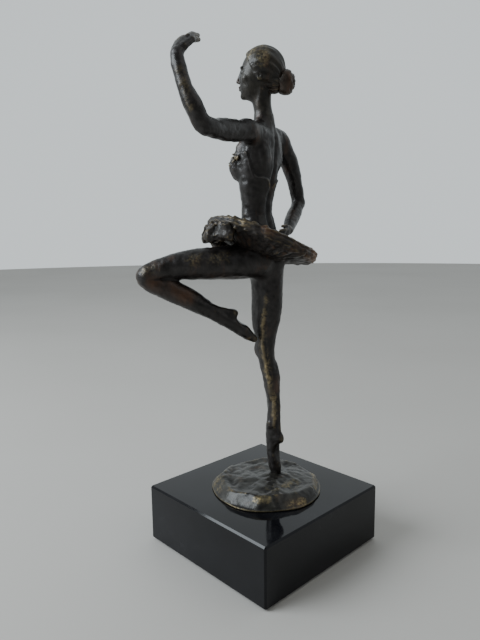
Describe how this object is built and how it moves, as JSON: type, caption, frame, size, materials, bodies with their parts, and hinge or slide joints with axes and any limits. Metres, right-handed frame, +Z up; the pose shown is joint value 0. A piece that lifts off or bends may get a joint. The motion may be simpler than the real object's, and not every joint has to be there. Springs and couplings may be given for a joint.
{
  "type": "bronze dancer statuette",
  "caption": "Bronze ballet dancer on one pointed foot, other leg bent and one arm raised, pinned to a round mound on a square polished marble block with a felt underside.",
  "frame": {"origin": "centre of the felt's underside, on the table", "axes": "+Z up, -Y the way the dancer's hips face, +X to the dancer's left; the block's sides lie along X and Y"},
  "size_m": [0.0952, 0.081, 0.2374],
  "materials": {
    "felt": "thin dark wool felt",
    "marble": "mirror-polished black marble",
    "steel": "zinc-plated steel",
    "pin_steel": "plain turned steel",
    "bronze_mound": "dark patinated bronze, rubbed golden on the ridges, waxed",
    "bronze_skin": "near-black patinated bronze, waxed, worn golden on the ridges",
    "bronze_head": "dark patinated bronze, waxed, hair rubbed golden",
    "bronze_bun": "reddish brown patinated bronze",
    "bronze_skirt": "dark patinated bronze with a brown rim",
    "bronze_frill": "dark patinated bronze, rubbed golden on the lumps"
  },
  "bodies": {
    "root": {"felt_pad": "felt", "marble_block": "marble", "fixing_stud": "steel", "flat_washer": "steel", "lock_washer": "steel", "fixing_nut": "steel", "mound_casting": "bronze_mound", "toe_pin": "pin_steel", "standing_leg": "bronze_skin", "raised_leg": "bronze_skin", "hip_dowels": "pin_steel", "torso": "bronze_skin", "shoulder_dowels": "pin_steel", "raised_arm": "bronze_skin", "lowered_arm": "bronze_skin", "neck_dowel": "pin_steel", "head": "bronze_head", "hair_bun": "bronze_bun", "skirt": "bronze_skirt", "skirt_frill": "bronze_frill"}
  },
  "joints": []
}
